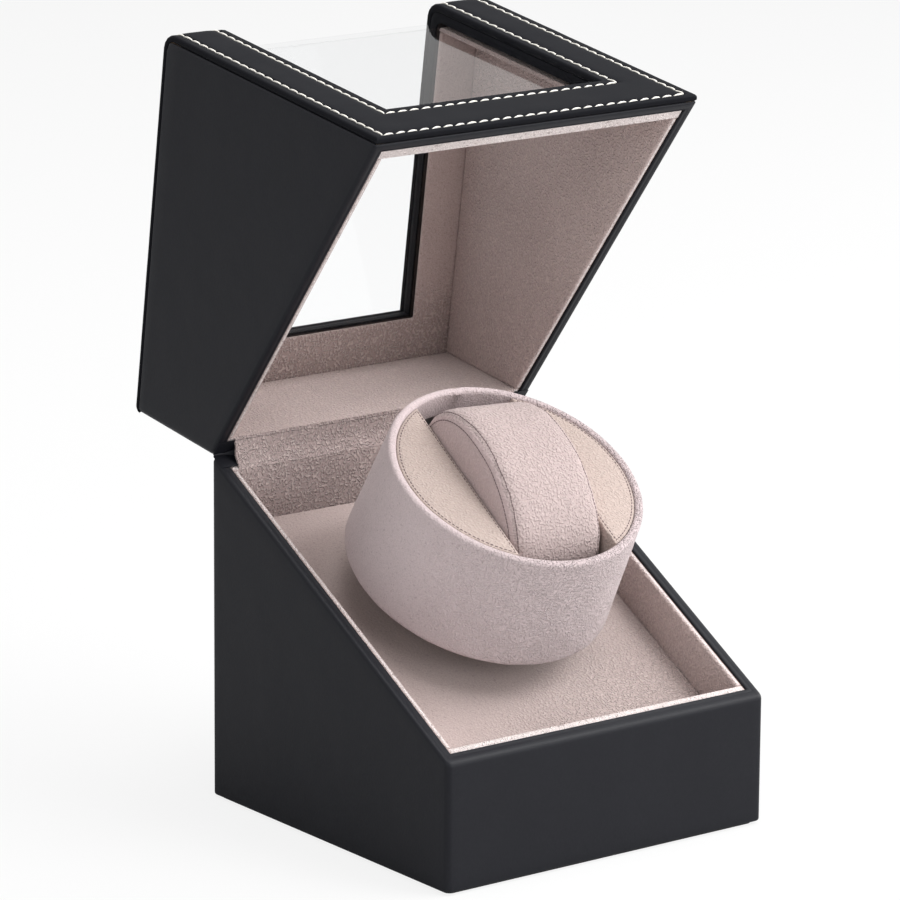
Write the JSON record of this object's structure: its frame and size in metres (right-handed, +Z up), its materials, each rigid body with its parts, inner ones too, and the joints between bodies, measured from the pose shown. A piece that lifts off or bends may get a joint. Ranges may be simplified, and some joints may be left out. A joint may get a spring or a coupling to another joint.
{
  "type": "watch winder box",
  "caption": "Single automatic-watch winder: black leatherette box cut on the slant, hinged lid with a bent clear window, velour drum on a geared motor, lift-out cushion.",
  "frame": {"origin": "centre of the base's footprint, on the surface it stands on", "axes": "+Z up, +X to the right seen from the front, -Y towards the front; the lid is hinged at +Y and stands open"},
  "size_m": [0.125, 0.1685, 0.2442],
  "materials": {
    "leatherette_black": "fine-grained black imitation leather, soft satin",
    "leatherette_frame": "the same leather over a padded frame, cream double stitching",
    "fibreboard": "bare medium-density fibreboard",
    "velour_beige": "short-pile velour, dusty pinkish beige",
    "velour_drum": "short-pile velour over the drum",
    "velour_cushion": "soft velour cushion with darker ends",
    "felt_black": "pressed felt",
    "clear_acrylic": "clear polished sheet",
    "moulded_black": "moulded, fine texture",
    "moulded_white": "acetal, moulded",
    "drum_moulding": "moulded cup, mostly covered",
    "circuit_laminate": "solder-masked laminate",
    "steel": "ground steel",
    "motor_steel": "drawn steel can",
    "brass": "turned brass",
    "hinge_plate": "nickel-plated hinge",
    "lead_insulation": "insulated hook-up wire"
  },
  "bodies": {
    "base": {"base_left_panel": "fibreboard", "base_right_panel": "fibreboard", "base_front_panel": "fibreboard", "base_back_panel": "fibreboard", "base_bottom_panel": "fibreboard", "base_leather": "leatherette_black", "base_felt": "felt_black", "base_lining_left": "velour_beige", "base_lining_right": "velour_beige", "base_lining_front": "velour_beige", "base_lining_back": "velour_beige", "deck_velour": "velour_beige", "deck_board": "fibreboard", "deck_cleats": "fibreboard", "hinge_cloth": "velour_beige", "hinge_base_leaves": "hinge_plate", "hinge_pins": "hinge_plate", "gearbox_case": "moulded_white", "gearbox_cover": "moulded_white", "gearbox_screws": "steel", "gear_arbors": "steel", "output_bushing": "brass", "motor_can": "motor_steel", "motor_end_cap": "moulded_black", "circuit_board": "circuit_laminate", "board_parts": "moulded_black", "motor_leads": "lead_insulation", "power_inlet": "moulded_black", "power_inlet_pin": "brass", "power_inlet_nut": "steel", "mode_switch": "moulded_black"},
    "lid": {"lid_left_panel": "fibreboard", "lid_right_panel": "fibreboard", "lid_front_frame": "fibreboard", "lid_top_frame": "fibreboard", "lid_back_panel": "fibreboard", "lid_leather": "leatherette_black", "lid_leather_frame": "leatherette_frame", "lid_window": "clear_acrylic", "lid_lining_left": "velour_beige", "lid_lining_right": "velour_beige", "lid_lining_front": "velour_beige", "lid_lining_top": "velour_beige", "lid_lining_back": "velour_beige", "hinge_lid_leaves": "hinge_plate"},
    "drum": {"drum_shell": "drum_moulding", "drum_sleeve": "velour_drum", "drum_liner": "velour_drum", "drum_pad_left": "velour_drum", "drum_pad_right": "velour_drum", "drum_hub": "moulded_white", "hub_screws": "steel", "output_shaft": "steel", "output_wheel": "moulded_white"},
    "cushion": {"cushion": "velour_cushion"},
    "second_gear": {"second_gear": "moulded_white"},
    "first_gear": {"first_gear": "moulded_white"},
    "motor_rotor": {"motor_shaft": "steel", "motor_pinion": "brass"},
    "mode_knob": {"mode_knob": "moulded_black"}
  },
  "joints": [
    {"name": "lid_hinge", "type": "hinge", "parent": "base", "child": "lid", "pos_m": [0, 0.0625, 0.11273], "axis": [-1, 0, 0], "range_deg": [-81.9, 0], "deforming": ["hinge_cloth"]},
    {"name": "drum_spin", "type": "hinge", "parent": "base", "child": "drum", "pos_m": [0, 0.00444, 0.07976], "axis": [0, -0.4913, 0.871], "continuous": true},
    {"name": "cushion_lift", "type": "slide", "parent": "drum", "child": "cushion", "axis": [0, -0.4913, 0.871], "range_m": [0, 0.014]},
    {"name": "second_gear_spin", "type": "hinge", "parent": "base", "child": "second_gear", "pos_m": [0.012, 0.01722, 0.05711], "axis": [0, -0.4913, 0.871], "continuous": true},
    {"name": "first_gear_spin", "type": "hinge", "parent": "base", "child": "first_gear", "pos_m": [0.024, 0.01869, 0.0545], "axis": [0, -0.4913, 0.871], "continuous": true},
    {"name": "motor_spin", "type": "hinge", "parent": "base", "child": "motor_rotor", "pos_m": [0.036, 0.02016, 0.05188], "axis": [0, -0.4913, 0.871], "continuous": true},
    {"name": "mode_knob_turn", "type": "hinge", "parent": "base", "child": "mode_knob", "pos_m": [-0.014, 0.065, 0.026], "axis": [0, -1, 0], "range_deg": [0, 270]}
  ],
  "couplings": [
    {"joint": "second_gear_spin", "follows": "drum_spin", "ratio": -3},
    {"joint": "first_gear_spin", "follows": "drum_spin", "ratio": 9},
    {"joint": "motor_spin", "follows": "drum_spin", "ratio": -27}
  ]
}
